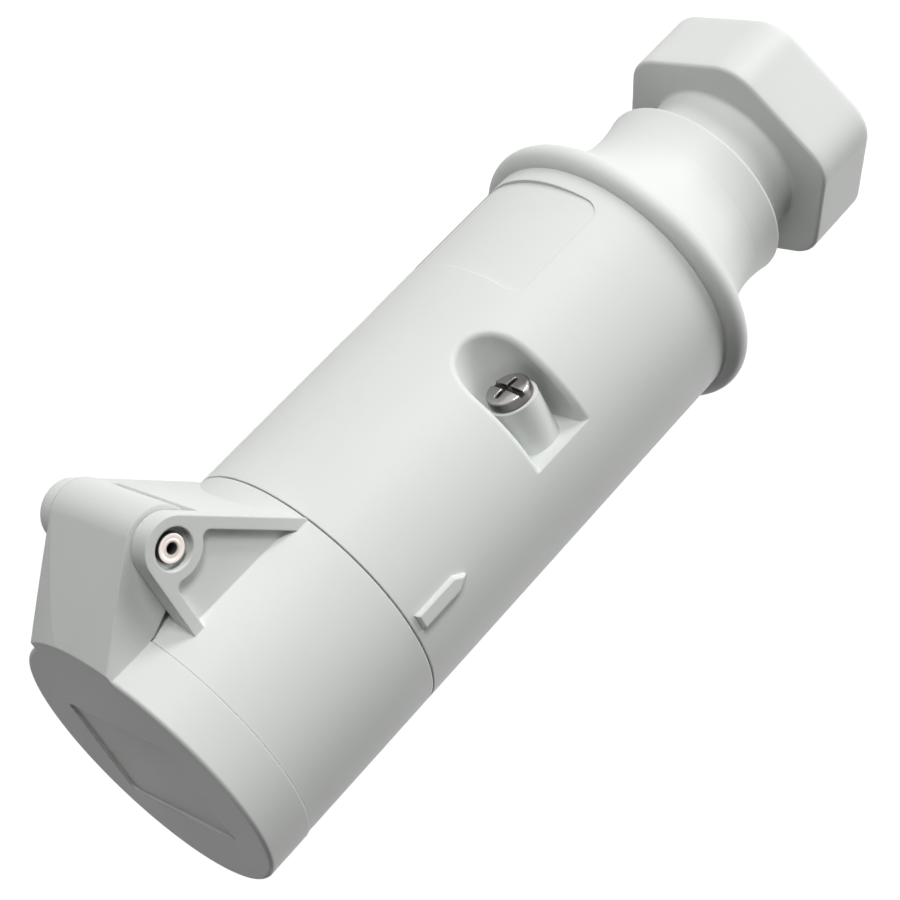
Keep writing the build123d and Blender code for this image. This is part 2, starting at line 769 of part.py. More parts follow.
# Pressure ring, which the nut turns on and pushes towards the sleeve
with BuildPart() as pressure_ring:
    with BuildSketch(across(ring_face_x)):
        Circle(shank_r)
    extrude(amount=-pressure_ring_thickness)
    with BuildSketch(across(ring_face_x)):
        Circle(nut_bore_r - running_fit)
    extrude(amount=-(pressure_ring_thickness + passing_gap + pressure_ring_lip))
    with BuildSketch(across(ring_face_x)):
        Circle(nut_bore_r - running_fit - pressure_ring_lip_wall)
    extrude(amount=-(pressure_ring_thickness + passing_gap + pressure_ring_lip), mode=Mode.SUBTRACT)
pressure_ring.part.label = "pressure_ring"
export_step(pressure_ring.part, "parts/pressure_ring.step")

# Rubber sleeve that seals on the cable
with BuildPart() as sealing_sleeve:
    with BuildSketch(across(sleeve_front_x - seated_fit)):
        Circle(gland_bore_r - seated_fit)
        Circle(sleeve_bore_r, mode=Mode.SUBTRACT)
    extrude(amount=sleeve_back_x - sleeve_front_x + seated_fit)
    chamfer(sealing_sleeve.edges().group_by(Axis.X)[0], length=sleeve_edge)
sealing_sleeve.part.label = "sealing_sleeve"
export_step(sealing_sleeve.part, "parts/sealing_sleeve.step")
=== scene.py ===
import json
import logging
from dataclasses import dataclass
from enum import Enum
from typing import Callable, Sequence

import bpy
import numpy as np
from mathutils import Matrix, Vector


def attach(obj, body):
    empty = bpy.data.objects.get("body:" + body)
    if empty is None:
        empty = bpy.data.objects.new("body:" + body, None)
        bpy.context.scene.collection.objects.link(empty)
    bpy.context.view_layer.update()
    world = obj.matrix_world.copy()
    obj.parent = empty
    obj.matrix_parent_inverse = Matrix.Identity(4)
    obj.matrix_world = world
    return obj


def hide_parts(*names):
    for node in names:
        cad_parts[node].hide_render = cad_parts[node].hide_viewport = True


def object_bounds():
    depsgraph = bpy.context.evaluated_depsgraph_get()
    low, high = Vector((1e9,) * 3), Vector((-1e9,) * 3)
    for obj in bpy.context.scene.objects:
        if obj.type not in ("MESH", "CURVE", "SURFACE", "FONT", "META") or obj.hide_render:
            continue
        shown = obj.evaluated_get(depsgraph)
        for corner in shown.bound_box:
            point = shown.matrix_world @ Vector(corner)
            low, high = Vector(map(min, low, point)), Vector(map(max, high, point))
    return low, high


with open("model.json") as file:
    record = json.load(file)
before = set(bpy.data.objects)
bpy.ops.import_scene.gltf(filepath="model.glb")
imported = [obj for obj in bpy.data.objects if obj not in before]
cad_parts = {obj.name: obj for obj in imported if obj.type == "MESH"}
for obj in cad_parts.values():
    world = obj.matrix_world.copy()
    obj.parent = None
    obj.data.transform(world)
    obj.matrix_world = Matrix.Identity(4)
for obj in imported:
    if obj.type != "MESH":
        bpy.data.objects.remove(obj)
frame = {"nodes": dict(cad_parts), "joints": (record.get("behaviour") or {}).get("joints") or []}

log = logging.getLogger("coupler")

MM = 0.001
"""One millimetre in the scene's metres."""

CAD_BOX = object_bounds()
"""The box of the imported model, taken before anything is dressed."""

PAINTED_SHADE_ATTRIBUTE = "painted_shade"
# The vertex attribute of painted shade on metal, from 0 to 1: where it is high, the colour is darkened and the
# surface is duller.
"""The vertex attribute that says how dull and dark a metal surface is, from 0 to 1."""

CORNER_POINTS = 5
"""The points on a small quarter circle."""

Colour = tuple[float, float, float]
"""Red, green and blue, from 0 to 1."""

Point = tuple[float, float, float]
"""A place in metres, or a direction, along X, Y and Z."""


class Slot(Enum):
    """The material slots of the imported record."""

    GREY_PLASTIC = "grey_plastic"
    INSERT_PLASTIC = "insert_plastic"
    PALE_PLASTIC = "pale_plastic"
    BLACK_RUBBER = "black_rubber"
    SCREW_STEEL = "screw_steel"
    PIN_STEEL = "pin_steel"
    SPRING_STEEL = "spring_steel"
    BRASS = "brass"


# Places in the coupler's own frame


@dataclass(frozen=True)
class CouplerFrame:
    """The coupler's own directions: along its axis, towards its hinge, and along its hinge pin.

    They are read from the lid's joint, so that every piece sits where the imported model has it.
    """

    pin_x: float
    pin_height: float
    hinge: np.ndarray
    pin: np.ndarray

    @classmethod
    def from_joints(cls, joints: Sequence[dict]) -> "CouplerFrame":
        """Reads the directions from the lid's joint.

        Args:
            joints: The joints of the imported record.

        Returns:
            The coupler's frame, with lengths in millimetres.
        """
        lid_joint = next(joint for joint in joints if joint["name"] == "lid_hinge")
        place = np.array(lid_joint["pos_m"]) / MM
        across = np.array([0.0, place[1], place[2]])
        height = float(np.linalg.norm(across))
        hinge = across / height
        return cls(float(place[0]), height, hinge, np.cross([1.0, 0.0, 0.0], hinge))

    def place(self, x: np.ndarray, h: np.ndarray, p: np.ndarray) -> np.ndarray:
        """Turns the coupler's own coordinates into points of the scene.

        Args:
            x: Millimetres along the axis, from the mouth outwards.
            h: Millimetres towards the hinge.
            p: Millimetres along the hinge pin.

        Returns:
            The points in metres, with one more dimension of length three.
        """
        x, h, p = np.broadcast_arrays(x, h, p)
        along = np.array([1.0, 0.0, 0.0])
        return MM * (x[..., None] * along + h[..., None] * self.hinge + p[..., None] * self.pin)


COUPLER = CouplerFrame.from_joints(frame["joints"])


# Meshes


def arc(centre: tuple[float, float], radius: float, start: float, end: float, steps: int = 8) -> np.ndarray:
    """Points on a circle: the centre plus the radius times the cosine and sine of the angle.

    Args:
        centre: The centre of the circle.
        radius: Its radius.
        start: The first angle, in degrees.
        end: The last angle, in degrees.
        steps: The number of points.

    Returns:
        The points, one to a row.
    """
    angle = np.radians(np.linspace(start, end, steps))
    return np.column_stack([centre[0] + radius * np.cos(angle), centre[1] + radius * np.sin(angle)])


def chain(*runs: np.ndarray | tuple[float, float]) -> np.ndarray:
    """Joins points and rows of points into one profile.

    Args:
        *runs: Single points, or arrays with a point to a row.

    Returns:
        The profile, with a point to a row.
    """
    return np.vstack([np.atleast_2d(np.array(run, float)) for run in runs])


def turn_angles(columns: int) -> np.ndarray:
    """Evenly spaced angles once round.

    Args:
        columns: The number of angles.

    Returns:
        The angles, in radians.
    """
    return np.linspace(0.0, 2.0 * np.pi, columns, endpoint=False)


def step(value: np.ndarray, width: float) -> np.ndarray:
    """A smooth step from 0 to 1 about zero: three times the square less twice the cube of the share passed.

    Args:
        value: Where it is worked out.
        width: The width of the step.

    Returns:
        The height of the step.
    """
    share = np.clip(value / width + 0.5, 0.0, 1.0)
    return share * share * (3.0 - 2.0 * share)


@dataclass
class Grid:
    """A closed surface given as rows and columns of points, in metres.

    The columns always close on themselves. The rows either close as well, as on a ring, or end in a pole
    each.
    """

    points: np.ndarray
    rows_close: bool = True
    painted_shade: np.ndarray | float = 0.0

    def painted_shade_by_vertex(self) -> np.ndarray:
        """Gives the painted shade at each vertex, which at a pole is the mean of its end row."""
        painted_shade = np.broadcast_to(self.painted_shade, self.points.shape[:2])
        poles = [] if self.rows_close else [painted_shade[0].mean(), painted_shade[-1].mean()]
        return np.append(painted_shade.ravel(), poles)

    def faces(self) -> tuple[np.ndarray, np.ndarray]:
        """Works out the vertices and the corners of the faces.

        Quad i, j joins row i to row i + 1 and column j to column j + 1. A pole is the mean of its end row.

        Returns:
            The vertices, and the quads, whose last two corners are the same where a face is a triangle.
        """
        rows, columns = self.points.shape[:2]
        index = np.arange(rows * columns).reshape(rows, columns)
        beside = np.roll(index, -1, axis=1)
        if self.rows_close:
            below = np.roll(index, -1, axis=0)
            diagonal = np.roll(beside, -1, axis=0)
            quads = np.stack([index, beside, diagonal, below], axis=-1).reshape(-1, 4)
            return self.points.reshape(-1, 3), quads
        quads = np.stack([index[:-1], beside[:-1], beside[1:], index[1:]], axis=-1).reshape(-1, 4)
        first = np.full(columns, rows * columns)
        vertices = np.vstack([self.points.reshape(-1, 3), self.points[0].mean(0), self.points[-1].mean(0)])
        front = np.stack([first, beside[0], index[0], index[0]], axis=-1)
        back = np.stack([first + 1, index[-1], beside[-1], beside[-1]], axis=-1)
        return vertices, np.vstack([quads, front, back])


def outward(grid: Grid) -> tuple[np.ndarray, np.ndarray]:
    """Gives a surface's vertices and quads with its faces outwards.

    The quads are turned round if the sum of their corners' triple products, six times the volume, is
    negative.

    Args:
        grid: The closed surface.

    Returns:
        The vertices and the quads.
    """
    vertices, quads = grid.faces()
    a, b, c, d = (vertices[quads[:, corner]] for corner in range(4))
    volume = np.sum(a * np.cross(b, c)) + np.sum(a * np.cross(c, d))
    if volume < 0:
        quads = quads[:, [1, 0, 3, 2]]
    return vertices, quads


def mesh_object(name: str, grids: Sequence[Grid]) -> bpy.types.Object:
    """Makes one object of several closed surfaces.

    Args:
        name: The name of the piece.
        grids: Its closed surfaces.

    Returns:
        The object, at the origin and linked to the scene.
    """
    parts = [outward(grid) for grid in grids]
    starts = np.cumsum([0] + [len(vertices) for vertices, _ in parts])
    vertices = np.vstack([part[0] for part in parts])
    quads = np.vstack([part[1] + start for part, start in zip(parts, starts)])
    distinct = np.ones(quads.shape, bool)
    distinct[:, 1:] = quads[:, 1:] != quads[:, :-1]
    counts = distinct.sum(1)
    corners = quads[distinct]

    mesh = bpy.data.meshes.new(name)
    mesh.vertices.add(len(vertices))
    mesh.vertices.foreach_set("co", vertices.astype(np.float32).ravel())
    mesh.loops.add(len(corners))
    mesh.loops.foreach_set("vertex_index", corners.astype(np.int32))
    mesh.polygons.add(len(counts))
    mesh.polygons.foreach_set("loop_start", (np.cumsum(counts) - counts).astype(np.int32))
    mesh.polygons.foreach_set("use_smooth", np.ones(len(counts), bool))
    mesh.update(calc_edges=True)
    mesh.validate()
    # Painted shade for the metal pieces: how far each vertex's colour is darkened, kept as a mesh attribute.
    painted_shade = np.concatenate([grid.painted_shade_by_vertex() for grid in grids])
    mesh.attributes.new(PAINTED_SHADE_ATTRIBUTE, "FLOAT", "POINT").data.foreach_set("value", painted_shade.astype(np.float32))
    piece = bpy.data.objects.new(name, mesh)
    bpy.context.scene.collection.objects.link(piece)
    return piece


def round_the_axis(profile: np.ndarray, columns: int = 192) -> Grid:
    """A ring about the coupler's axis: each profile point x, r goes round at radius r.

    Args:
        profile: A closed profile of x and r, in millimetres.
        columns: The number of points once round.

    Returns:
        The closed surface.
    """
    angle = turn_angles(columns)
    x, radius = profile[:, :1], profile[:, 1:]
    return Grid(COUPLER.place(x, radius * np.cos(angle), radius * np.sin(angle)))


def rounded_box(x_span: tuple[float, float], r_span: tuple[float, float], edge: float) -> np.ndarray:
    """A closed profile: a rectangle in x and r with a quarter circle at each corner.

    Args:
        x_span: Its ends along the axis, the lower first.
        r_span: Its inner and outer radius.
        edge: The radius of the quarter circles.

    Returns:
        The profile, which starts and ends on the side of the lower x.
    """
    (x0, x1), (r0, r1) = x_span, r_span
    return chain(
        arc((x0 + edge, r0 + edge), edge, 180.0, 270.0, CORNER_POINTS),
        arc((x1 - edge, r0 + edge), edge, 270.0, 360.0, CORNER_POINTS),
        arc((x1 - edge, r1 - edge), edge, 0.0, 90.0, CORNER_POINTS),
        arc((x0 + edge, r1 - edge), edge, 90.0, 180.0, CORNER_POINTS),
    )


# Materials


class Level:
    """A number that varies over a surface, as a socket of a node tree that can stand in an expression."""

    def __init__(self, shader: "Shader", socket: bpy.types.NodeSocket) -> None:
        """Keeps the socket and the tree that it is in."""
        self.shader = shader
        self.socket = socket

    def _maths(self, operation: str, first: "Level | float", second: "Level | float") -> "Level":
        """Adds one Math node.

        Args:
            operation: What it works out.
            first: The first value.
            second: The second value.

        Returns:
            The result.
        """
        return self.shader.level("ShaderNodeMath", {"operation": operation}, {0: first, 1: second})

    def __add__(self, other: "Level | float") -> "Level":
        """The sum of two levels."""
        return self._maths("ADD", self, other)

    __radd__ = __add__

    def __sub__(self, other: "Level | float") -> "Level":
        """This level less the other."""
        return self._maths("SUBTRACT", self, other)

    def __rsub__(self, other: float) -> "Level":
        """A number less this level."""
        return self._maths("SUBTRACT", other, self)

    def __mul__(self, other: "Level | float") -> "Level":
        """The product of two levels."""
        return self._maths("MULTIPLY", self, other)

    def clamped(self) -> "Level":
        """This level, held between 0 and 1."""
        return self.shader.level("ShaderNodeClamp", {}, {"Value": self, "Min": 0.0, "Max": 1.0})


class Shader:
    """The node tree of one material or of the world."""

    NOISE_ROUGHNESS = 0.55
    BEVEL_SAMPLES = 6
    EDGE_RISE = 6.0

    def __init__(self, owner: bpy.types.Material | bpy.types.World) -> None:
        """Starts with an empty tree.

        Args:
            owner: The material or world that the tree belongs to.
        """
        self.owner = owner
        owner.use_nodes = True
        self.tree = owner.node_tree
        self.tree.nodes.clear()

    def node(self, kind: str, settings: dict, inputs: dict) -> bpy.types.Node:
        """Adds a node, the one way in which this file does it.

        Args:
            kind: The type of the node.
            settings: Its own settings, by name.
            inputs: Values or links of its sockets, by name or number.

        Returns:
            The node.
        """
        node = self.tree.nodes.new(kind)
        for name, value in settings.items():
            setattr(node, name, value)
        for key, value in inputs.items():
            if isinstance(value, Level):
                value = value.socket
            if isinstance(value, bpy.types.NodeSocket):
                self.tree.links.new(value, node.inputs[key])
            else:
                node.inputs[key].default_value = value
        return node

    def level(self, kind: str, settings: dict, inputs: dict, output: int | str = 0) -> Level:
        """Adds a node and gives one of its outputs as a level.

        Args:
            kind: The type of the node.
            settings: Its own settings, by name.
            inputs: Values or links of its sockets, by name or number.
            output: The name or number of the output.

        Returns:
            The output.
        """
        return Level(self, self.node(kind, settings, inputs).outputs[output])

    def noise(self, size_mm: float, detail: float = 2.0, squeeze: Colour = (1.0, 1.0, 1.0)) -> Level:
        """Noise from 0 to 1 in the object's own coordinates.

        Args:
            size_mm: The size of its features.
            detail: The number of finer layers.
            squeeze: How much the pattern is squeezed along X, Y and Z.

        Returns:
            The noise.
        """
        where = self.node("ShaderNodeTexCoord", {}, {}).outputs["Object"]
        mapped = self.node("ShaderNodeMapping", {}, {"Vector": where, "Scale": squeeze}).outputs["Vector"]
        scale = 1.0 / (size_mm * MM)
        inputs = {"Vector": mapped, "Scale": scale, "Detail": detail, "Roughness": self.NOISE_ROUGHNESS}
        return self.level("ShaderNodeTexNoise", {"noise_dimensions": "3D"}, inputs, "Fac")

    def softened(self, radius_mm: float) -> tuple[bpy.types.NodeSocket, Level]:
        """The surface's direction with its edges rounded, and a mask of those edges.

        The mask is one less the dot product of the rounded and the plain direction, raised and held to 1.

        Args:
            radius_mm: The radius of the rounding.

        Returns:
            The rounded direction, and the mask.
        """
        bevel = self.node("ShaderNodeBevel", {"samples": self.BEVEL_SAMPLES}, {"Radius": radius_mm * MM})
        rounded = bevel.outputs["Normal"]
        plain = self.node("ShaderNodeNewGeometry", {}, {}).outputs["Normal"]
        product = {"operation": "DOT_PRODUCT"}
        turned = self.level("ShaderNodeVectorMath", product, {0: rounded, 1: plain}, "Value")
        return rounded, ((1.0 - turned) * self.EDGE_RISE).clamped()

    def mix(
        self, factor: Level, first: Sequence[float] | bpy.types.NodeSocket, second: Sequence[float]
    ) -> bpy.types.NodeSocket:
        """Mixes two colours.

        Args:
            factor: How much of the second.
            first: A colour, or a socket that gives one.
            second: The other colour.

        Returns:
            The socket of the mixed colour.
        """
        blend = {"data_type": "RGBA", "blend_type": "MIX"}
        return self.node("ShaderNodeMix", blend, {0: factor, 6: first, 7: second}).outputs[2]

    def bump(self, height: Level, depth_mm: float, strength: float, onto: dict) -> bpy.types.NodeSocket:
        """Raises a surface by a height pattern.

        Args:
            height: The pattern, from 0 to 1.
            depth_mm: How far it rises.
            strength: How much of it shows.
            onto: The direction that it is laid on, as the input Normal, or nothing.

        Returns:
            The raised direction.
        """
        inputs = {"Strength": strength, "Distance": depth_mm * MM, "Height": height, **onto}
        return self.node("ShaderNodeBump", {}, inputs).outputs["Normal"]

    def finish(self, inputs: dict) -> bpy.types.Material:
        """Ends the tree in a Principled shader.

        Args:
            inputs: Values or links of the shader's sockets, by name.

        Returns:
            The material.
        """
        surface = self.node("ShaderNodeBsdfPrincipled", {}, inputs).outputs["BSDF"]
        self.node("ShaderNodeOutputMaterial", {}, {"Surface": surface})
        return self.owner

    def seen_directly(self) -> Level:
        """One for rays that show the backdrop in the picture, in gloss or through glass, else nought."""
        rays = self.node("ShaderNodeLightPath", {}, {})
        camera, glossy, through = (
            Level(self, rays.outputs[f"Is {kind} Ray"]) for kind in ("Camera", "Glossy", "Transmission")
        )
        return (camera + glossy + through).clamped()


def shade(colour: Colour, share: float = 1.0) -> tuple[float, float, float, float]:
    """Makes a colour darker or lighter.

    Args:
        colour: The colour.
        share: How much of it is kept, above 1 where it gets lighter.

    Returns:
        Four numbers for a socket, the last of which is 1.
    """
    return (*(min(channel * share, 1.0) for channel in colour), 1.0)


@dataclass(frozen=True)
class MouldedPlastic:
    """Satin moulded plastic with fine spark-eroded grain, faint mottling, and edges that are slightly polished
    and lightened in colour as a painted highlight.
    """

    name: str
    colour: Colour
    roughness: float = 0.5
    grain_mm: float = 0.16
    grain_depth_mm: float = 0.012
    edge_radius_mm: float = 0.4
    grain_strength: float = 0.22
    edge_gain: float = 1.16
    edge_share: float = 0.6
    edge_polish: float = 0.06
    mottle: float = 0.03
    cloud_mm: float = 14.0
    cloud_detail: float = 3.0
    cloud_swing: float = 0.1
    speck_mm: float = 0.9
    speck_share: float = 0.5
    speck_shade: float = 0.97
    speck_swing: float = 0.06
    ior: float = 1.4

    def material(self) -> bpy.types.Material:
        """Builds the material."""
        shader = Shader(bpy.data.materials.new(self.name))
        direction, edges = shader.softened(self.edge_radius_mm)
        cloud = shader.noise(self.cloud_mm, self.cloud_detail)
        specks = shader.noise(self.speck_mm)
        dark, pale = shade(self.colour, 1.0 - self.mottle), shade(self.colour, 1.0 + self.mottle)
        colour = shader.mix(cloud, dark, pale)
        colour = shader.mix(specks * self.speck_share, colour, shade(self.colour, self.speck_shade))
        # Painted highlight: the edges are lightened in colour, standing in for the light that they catch.
        colour = shader.mix(edges * self.edge_share, colour, shade(self.colour, self.edge_gain))
        grain = shader.noise(self.grain_mm)
        raised = shader.bump(grain, self.grain_depth_mm, self.grain_strength, {"Normal": direction})
        roughness = self.roughness + (cloud - 0.5) * self.cloud_swing + (specks - 0.5) * self.speck_swing
        roughness = roughness - edges * self.edge_polish
        inputs = {"Base Color": colour, "Roughness": roughness, "IOR": self.ior, "Normal": raised}
        return shader.finish(inputs)


@dataclass(frozen=True)
class Rubber:
    """Matt black sealing rubber with a soft bloom."""

    name: str
    colour: Colour = (0.028, 0.028, 0.03)
    roughness: float = 0.62
    bloom_mm: float = 6.0
    bloom_detail: float = 4.0
    bloom_dark: float = 0.8
    bloom_pale: float = 1.7
    bloom_swing: float = 0.2
    grain_mm: float = 0.25
    grain_depth_mm: float = 0.02
    grain_strength: float = 0.35
    ior: float = 1.45

    def material(self) -> bpy.types.Material:
        """Builds the material."""
        shader = Shader(bpy.data.materials.new(self.name))
        bloom = shader.noise(self.bloom_mm, self.bloom_detail)
        colour = shader.mix(bloom, shade(self.colour, self.bloom_dark), shade(self.colour, self.bloom_pale))
        raised = shader.bump(shader.noise(self.grain_mm), self.grain_depth_mm, self.grain_strength, {})
        roughness = self.roughness + bloom * self.bloom_swing
        inputs = {"Base Color": colour, "Roughness": roughness, "IOR": self.ior, "Normal": raised}
        return shader.finish(inputs)


@dataclass(frozen=True)
class Metal:
    """Bare or plated metal with fine tool marks, faint tarnish, brighter edges, and painted shade from the
    mesh's own attribute, which also dulls it.
    """

    name: str
    colour: Colour
    roughness: float
    tarnish: Colour = (0.42, 0.385, 0.35)
    tarnish_share: float = 0.35
    film_mm: float = 1.6
    film_detail: float = 3.0
    film_gain: float = 1.6
    film_swing: float = 0.12
    marks_mm: float = 0.12
    marks_depth_mm: float = 0.006
    marks_squeeze: Colour = (0.15, 1.0, 1.0)
    marks_strength: float = 0.3
    marks_swing: float = 0.06
    edge_radius_mm: float = 0.1
    edge_gain: float = 1.1
    edge_share: float = 0.4
    painted_shade_colour: Colour = (0.065, 0.062, 0.06)
    painted_shade_dulling: float = 0.2

    def material(self) -> bpy.types.Material:
        """Builds the material."""
        shader = Shader(bpy.data.materials.new(self.name))
        direction, edges = shader.softened(self.edge_radius_mm)
        film = shader.noise(self.film_mm, self.film_detail)
        marks = shader.noise(self.marks_mm, squeeze=self.marks_squeeze)
        worn = (film * self.film_gain - 0.5).clamped() * self.tarnish_share
        colour = shader.mix(worn, shade(self.colour), shade(self.tarnish))
        colour = shader.mix(edges * self.edge_share, colour, shade(self.colour, self.edge_gain))
        # Painted shade: where the mesh's attribute is high, the colour is darkened towards near-black and the
        # roughness is raised.
        painted_shade = shader.level("ShaderNodeAttribute", {"attribute_name": PAINTED_SHADE_ATTRIBUTE}, {}, "Fac")
        colour = shader.mix(painted_shade, colour, shade(self.painted_shade_colour))
        raised = shader.bump(marks, self.marks_depth_mm, self.marks_strength, {"Normal": direction})
        roughness = self.roughness + (film - 0.5) * self.film_swing + (marks - 0.5) * self.marks_swing
        roughness = roughness + painted_shade * self.painted_shade_dulling
        inputs = {"Base Color": colour, "Metallic": 1.0, "Roughness": roughness, "Normal": raised}
        return shader.finish(inputs)


class FinishBook:
    """The finish of each of the record's slots, made once."""

    def __init__(self) -> None:
        """Makes every material."""
        finishes = {
            Slot.GREY_PLASTIC: MouldedPlastic("grey_moulding", (0.735, 0.755, 0.732)),
            Slot.INSERT_PLASTIC: MouldedPlastic("dark_moulding", (0.11, 0.112, 0.116), mottle=0.12),
            Slot.PALE_PLASTIC: MouldedPlastic("pale_moulding", (0.8, 0.79, 0.75)),
            Slot.BLACK_RUBBER: Rubber("seal_rubber"),
            Slot.SCREW_STEEL: Metal("screw_plating", (0.47, 0.457, 0.445), roughness=0.17),
            Slot.PIN_STEEL: Metal(
                "pin_metal", (0.78, 0.7, 0.66), roughness=0.5, tarnish_share=0.15, marks_mm=0.3
            ),
            Slot.SPRING_STEEL: Metal("spring_wire", (0.55, 0.55, 0.54), roughness=0.3),
            Slot.BRASS: Metal(
                "contact_brass", (0.83, 0.62, 0.3), roughness=0.24, tarnish=(0.5, 0.33, 0.15)
            ),
        }
        self.materials = {slot: finish.material() for slot, finish in finishes.items()}

    def dress(self, piece: bpy.types.Object, slot: Slot) -> None:
        """Gives a piece the finish of a slot.

        Args:
            piece: The piece.
            slot: The slot that its finish stands for.
        """
        piece.data.materials.clear()
        piece.data.materials.append(self.materials[slot])


# Sub-assemblies


@dataclass
class SubAssembly:
    """A group of pieces that one class builds and dresses."""

    finishes: FinishBook

    def add(self, name: str, grids: Sequence[Grid], slot: Slot, body: str, node: str) -> None:
        """Makes a piece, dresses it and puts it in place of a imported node.

        Args:
            name: The name of the piece.
            grids: Its closed surfaces.
            slot: The slot of its finish.
            body: The body that it rides on.
            node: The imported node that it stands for.
        """
        piece = mesh_object(name, grids)
        self.finishes.dress(piece, slot)
        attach(piece, body)
        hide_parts(node)
        log.info("%s: %d faces on %s", name, len(piece.data.polygons), body)

    def keep(self, node: str, slot: Slot) -> None:
        """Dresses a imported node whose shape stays.

        Args:
            node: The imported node.
            slot: The slot of its finish.
        """
        self.finishes.dress(frame["nodes"][node], slot)
        log.info("%s: kept as packed", node)


@dataclass
class Housings(SubAssembly):
    """The two housings with what holds them together."""

    def build(self) -> None:
        """Dresses the housings, the frame between them and their seal."""
        for node in ("front_housing", "rear_housing", "gland_neck", "inner_frame"):
            self.keep(node, Slot.GREY_PLASTIC)
        self.keep("housing_gasket", Slot.BLACK_RUBBER)
        self.keep("threaded_insert_left", Slot.BRASS)
        self.keep("threaded_insert_right", Slot.BRASS)


@dataclass
class Lid(SubAssembly):
    """The sprung lid with its seal, its pin and its spring."""

    gasket_back_x: float = 0.3
    gasket_front_x: float = 2.1
    gasket_outer: float = 24.8
    gasket_inner: float = 21.4
    gasket_edge: float = 0.3
    bead_radius: float = 1.0
    bead_half_angle: float = 30.0
    bead_points: int = 9
    pin_radius: float = 2.5
    pin_hole: float = 0.9
    pin_half_length: float = 14.2
    pin_edge: float = 0.3
    pin_chamfer: float = 0.15
    pin_columns: int = 96
    hole_run: float = 4.0
    side_run: float = 1.0
    ring_mark: float = 1.6
    ring_mark_depth: float = 0.07
    ring_mark_half_top: float = 0.12
    ring_mark_half_floor: float = 0.05
    hole_shade_width: float = 0.2
    rim_shade_width: float = 0.1
    wire_radius: float = 0.6
    coil_radius: float = 3.45
    coil_pitch: float = 1.9
    coil_turns: int = 6
    coil_points: int = 48
    wire_columns: int = 14

    def gasket(self) -> Grid:
        """The lid's seal: a flat ring with round edges and a low raised bead that faces the collar."""
        span = (self.gasket_back_x, self.gasket_front_x)
        flat = rounded_box(span, (self.gasket_inner, self.gasket_outer), self.gasket_edge)
        half = self.bead_half_angle
        middle = (self.gasket_outer + self.gasket_inner) / 2.0
        centre = (self.gasket_back_x + self.bead_radius * np.cos(np.radians(half)), middle)
        bead = arc(centre, self.bead_radius, 180.0 - half, 180.0 + half, self.bead_points)
        return round_the_axis(chain(flat, bead))

    def pin_end(self) -> np.ndarray:
        """One end of the pin as place along it and radius: its hole, turned ring, rim and side."""
        half, outer, hole, edge = self.pin_half_length, self.pin_radius, self.pin_hole, self.pin_edge
        mark, floor = self.ring_mark, half - self.ring_mark_depth
        return chain(
            (half - self.hole_run, hole),
            (half - self.pin_chamfer, hole),
            (half, hole + self.pin_chamfer),
            (half, mark - self.ring_mark_half_top),
            (floor, mark - self.ring_mark_half_floor),
            (floor, mark + self.ring_mark_half_floor),
            (half, mark + self.ring_mark_half_top),
            arc((half - edge, outer - edge), edge, 0.0, 90.0, CORNER_POINTS),
            (half - self.side_run, outer),
        )

    def pin(self) -> Grid:
        """The pin: a tube about the hinge's line with round rims and a fine turned ring on each end."""
        end = self.pin_end()
        profile = chain(end, end[::-1] * [-1.0, 1.0])
        angle = turn_angles(self.pin_columns)
        along, radius = profile[:, :1], profile[:, 1:]
        x = COUPLER.pin_x + radius * np.cos(angle)
        h = COUPLER.pin_height + radius * np.sin(angle)
        # Painted shade: the pin is darkened inside its hole and on its rim and side, standing in for the shade
        # there.
        at_hole = step(self.pin_hole + self.pin_chamfer - radius, self.hole_shade_width)
        at_rim = step(radius - self.pin_radius + self.pin_edge / 2.0, self.rim_shade_width)
        return Grid(COUPLER.place(x, h, along), painted_shade=np.maximum(at_hole, at_rim))

    def spring(self) -> Grid:
        """The coil: a circle of the wire's radius carried along a helix.

        The helix is the coil's radius times the cosine and sine of the turn. It climbs by the pitch each turn.
        """
        turn = np.linspace(0.0, 2.0 * np.pi * self.coil_turns, self.coil_points * self.coil_turns)[:, None]
        round_wire = turn_angles(self.wire_columns)
        radius = self.coil_radius + self.wire_radius * np.cos(round_wire)
        x = COUPLER.pin_x + radius * np.cos(turn)
        h = COUPLER.pin_height + radius * np.sin(turn)
        climb = self.coil_pitch * (turn / (2.0 * np.pi) - self.coil_turns / 2.0)
        return Grid(COUPLER.place(x, h, climb + self.wire_radius * np.sin(round_wire)), rows_close=False)

    def build(self) -> None:
        """Dresses the lid and builds what turns in it."""
        self.keep("lid", Slot.GREY_PLASTIC)
        self.add("lid_gasket_beaded", [self.gasket()], Slot.BLACK_RUBBER, "lid", "lid_gasket")
        self.add("hinge_pin_tube", [self.pin()], Slot.PIN_STEEL, "coupler", "hinge_pin")
        self.add("lid_spring_coil", [self.spring()], Slot.SPRING_STEEL, "lid", "lid_spring")


